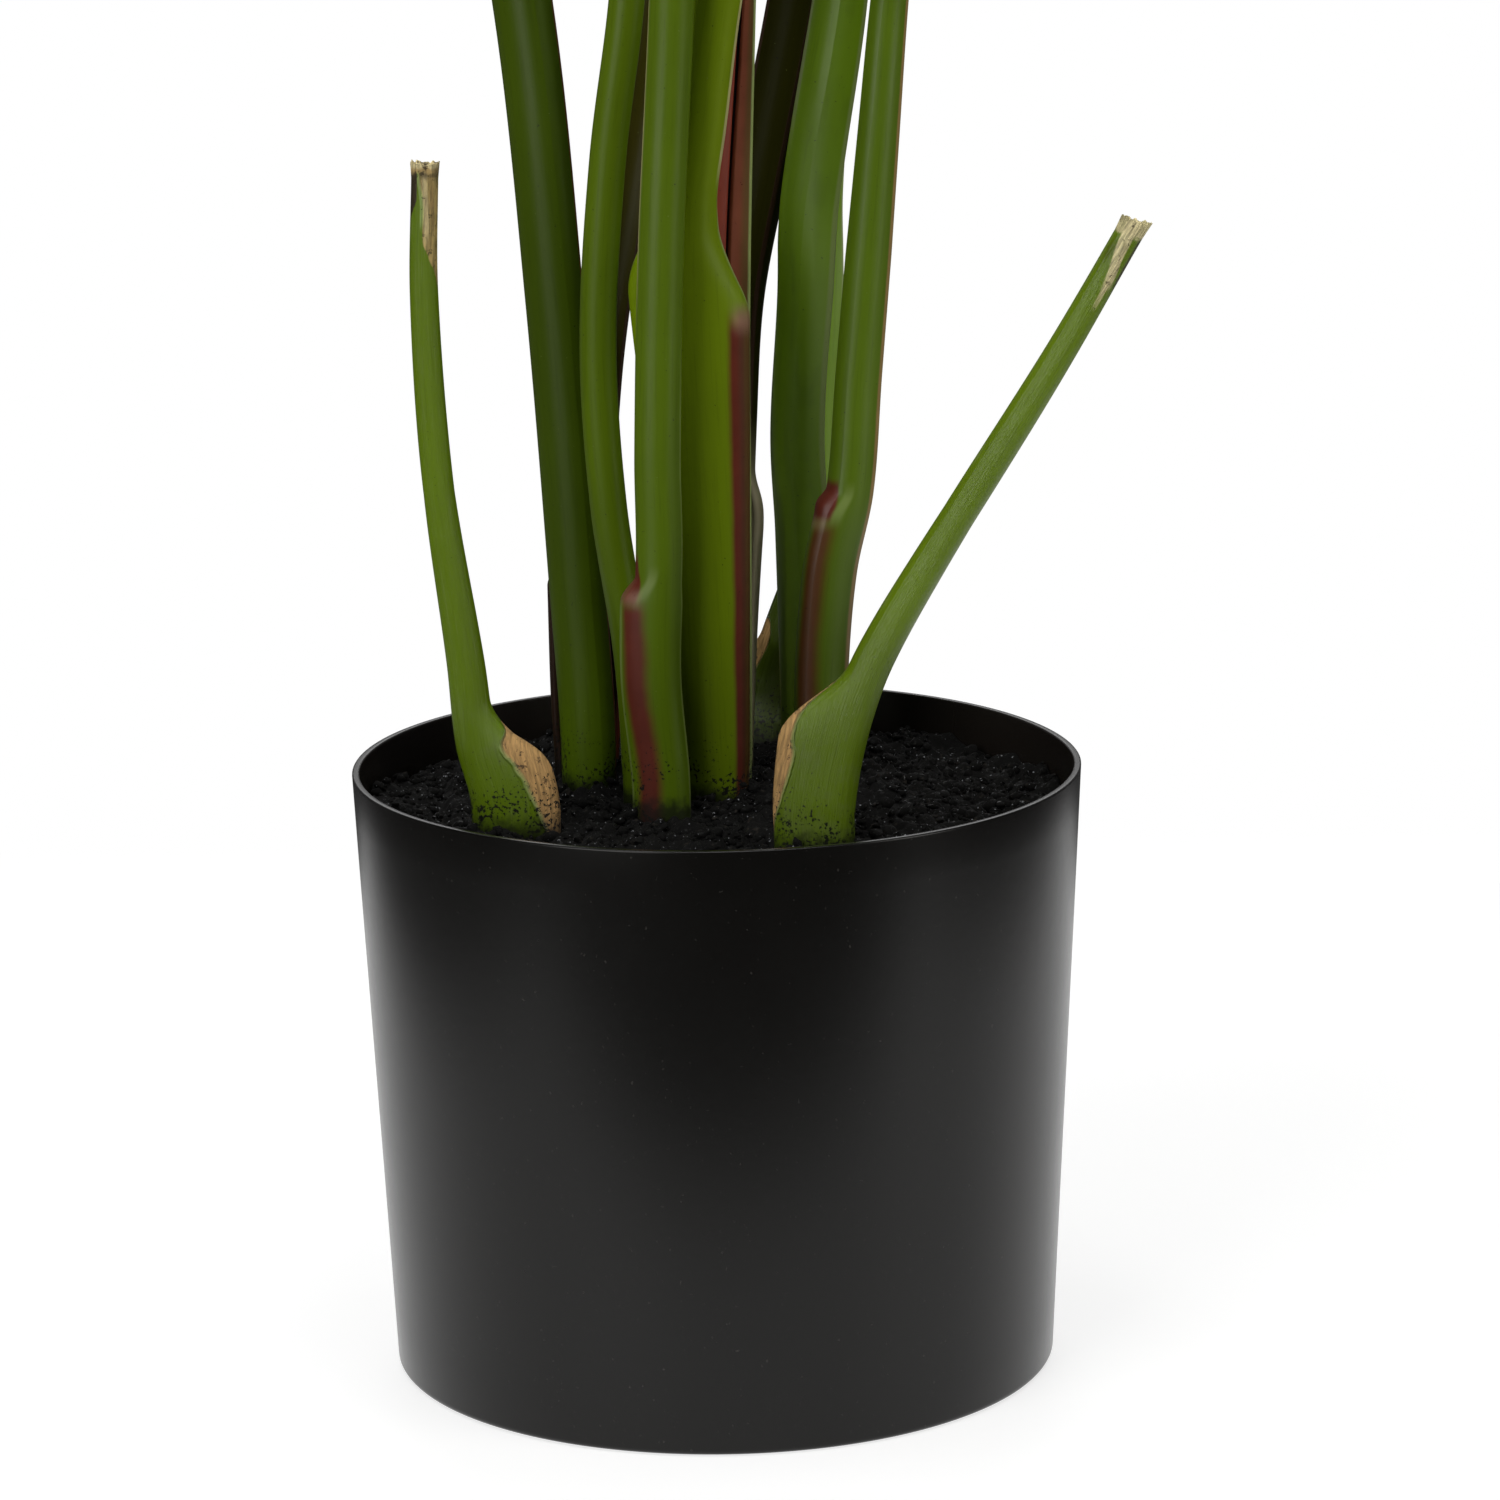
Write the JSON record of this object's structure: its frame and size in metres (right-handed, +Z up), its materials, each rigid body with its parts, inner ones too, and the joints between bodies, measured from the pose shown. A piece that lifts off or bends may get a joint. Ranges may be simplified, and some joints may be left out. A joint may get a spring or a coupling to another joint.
{
  "type": "potted travelers palm",
  "caption": "Travelers palm in a plain black nursery pot: long upright stalks with a fan of large paddle leaves above, sheathed at the foot, and short cut stubs beside them.",
  "frame": {"origin": "centre of the pot's flat bottom, on the surface that it stands on", "axes": "+Z up along the pot's axis, -Y towards the side that the picture shows, +X to the right in it"},
  "size_m": [0.9511, 0.8869, 1.5729],
  "materials": {
    "pot_plastic": "satin black moulded plastic",
    "soil": "rough dark crumbs",
    "leaf_green": "smooth waxy green with maroon margins at the sheaths",
    "stub_green": "smooth waxy green with tan scars and dry fibrous cut ends"
  },
  "bodies": {
    "root": {"pot": "pot_plastic", "soil": "soil", "leaf_left": "leaf_green", "leaf_back_left": "leaf_green", "leaf_inner_left": "leaf_green", "leaf_front": "leaf_green", "leaf_centre": "leaf_green", "leaf_newest": "leaf_green", "leaf_back_right": "leaf_green", "leaf_inner_right": "leaf_green", "leaf_right": "leaf_green", "stub_left": "stub_green", "stub_right": "stub_green", "stub_back": "stub_green"}
  },
  "joints": []
}
